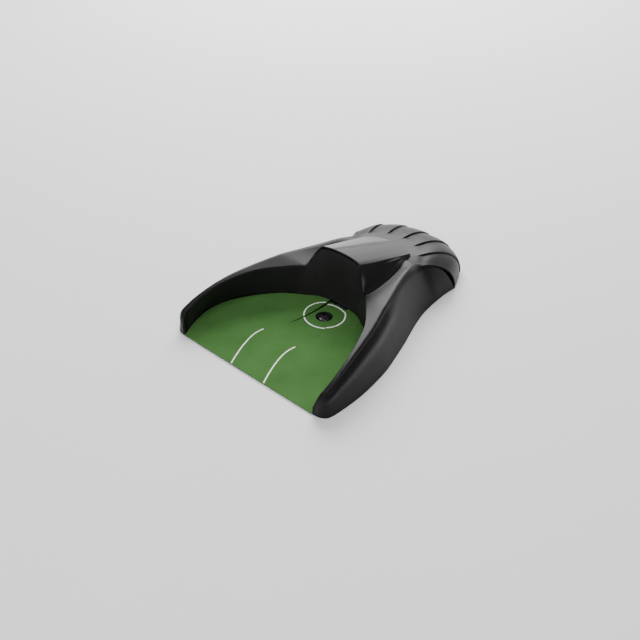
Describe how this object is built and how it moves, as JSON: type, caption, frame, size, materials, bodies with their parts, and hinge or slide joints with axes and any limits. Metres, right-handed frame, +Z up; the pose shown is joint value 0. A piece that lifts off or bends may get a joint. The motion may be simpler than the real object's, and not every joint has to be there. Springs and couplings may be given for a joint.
{
  "type": "practice putting mat ball returner",
  "caption": "Low black golf putting returner: felt ramp between two wings, a hinged flap with a ball button, gloss hood and ribbed tail.",
  "frame": {"origin": "centre of the footprint's bounding box, on the floor that the part stands on", "axes": "+Z up, +Y from the player's side (front edge of the ramp) to the tail, +X to the player's right"},
  "size_m": [0.2108, 0.307, 0.0727],
  "materials": {
    "grained_black": "finely grained black ABS, satin",
    "gloss_black": "smooth high-gloss black ABS",
    "satin_black": "plain black ABS, satin",
    "green_felt": "short-pile green putting felt with white printed lines",
    "smoky_button": "smoky dark domed button",
    "nylon": "natural nylon",
    "steel": "bright steel",
    "spring_steel": "drawn spring wire",
    "zinc_plate": "zinc-plated sheet",
    "wound_copper": "enamelled copper winding on a bobbin",
    "board_green": "solder-masked board",
    "cell_jacket": "printed metal jacket, plain",
    "foot_rubber": "black rubber"
  },
  "bodies": {
    "body": {"housing": "grained_black", "hood_cover": "gloss_black", "mouth_liner": "satin_black", "ramp_plate": "grained_black", "base_plate": "grained_black", "felt_mat": "green_felt", "flap_hinge_wire": "steel", "arm_pivot_pin": "steel", "return_spring": "spring_steel", "solenoid_frame": "zinc_plate", "solenoid_coil": "wound_copper", "tact_switch": "satin_black", "battery_tray": "satin_black", "battery_1": "cell_jacket", "battery_2": "cell_jacket", "battery_3": "cell_jacket", "battery_4": "cell_jacket", "contact_front_1": "zinc_plate", "contact_rear_1": "zinc_plate", "contact_front_2": "zinc_plate", "contact_rear_2": "zinc_plate", "power_switch_body": "satin_black", "circuit_board": "board_green", "capacitor_1": "cell_jacket", "capacitor_2": "cell_jacket", "driver_chip": "satin_black", "case_screw_1": "steel", "case_screw_2": "steel", "case_screw_3": "steel", "case_screw_4": "steel", "case_screw_5": "steel", "case_screw_6": "steel", "frame_screw_1": "steel", "frame_screw_2": "steel", "foot_1": "foot_rubber", "foot_2": "foot_rubber", "foot_3": "foot_rubber", "foot_4": "foot_rubber"},
    "flap": {"flap_plate": "satin_black", "flap_felt": "green_felt"},
    "kicker": {"kicker_arm": "nylon"},
    "plunger": {"plunger": "steel", "link_pin": "steel"},
    "button": {"ball_button": "smoky_button"},
    "door": {"battery_door": "grained_black"},
    "knob": {"power_switch_knob": "nylon"}
  },
  "joints": [
    {"name": "flap_hinge", "type": "hinge", "parent": "body", "child": "flap", "pos_m": [0, -0.0699, 0.0034], "axis": [1, 0, 0], "range_deg": [0, 24]},
    {"name": "arm_pivot", "type": "hinge", "parent": "body", "child": "kicker", "pos_m": [0, -0.0075, 0.0056], "axis": [1, 0, 0], "range_deg": [-20.16, 0]},
    {"name": "plunger_slide", "type": "slide", "parent": "body", "child": "plunger", "axis": [0, 1, 0], "range_m": [0, 0.0084], "deforming": ["return_spring"]},
    {"name": "ball_button_press", "type": "slide", "parent": "body", "child": "button", "axis": [0, 0, 1], "range_m": [-0.00025, 0], "stiffness_N_per_m": 600},
    {"name": "battery_door_hinge", "type": "hinge", "parent": "body", "child": "door", "pos_m": [0, 0.08045, 0.0017], "axis": [1, 0, 0], "range_deg": [-100, 0]},
    {"name": "power_switch_slide", "type": "slide", "parent": "body", "child": "knob", "axis": [0, 1, 0], "range_m": [0, 0.004]}
  ],
  "couplings": [
    {"joint": "arm_pivot", "follows": "flap_hinge", "ratio": -0.84},
    {"joint": "plunger_slide", "follows": "flap_hinge", "m_per_rad": 0.01966}
  ]
}
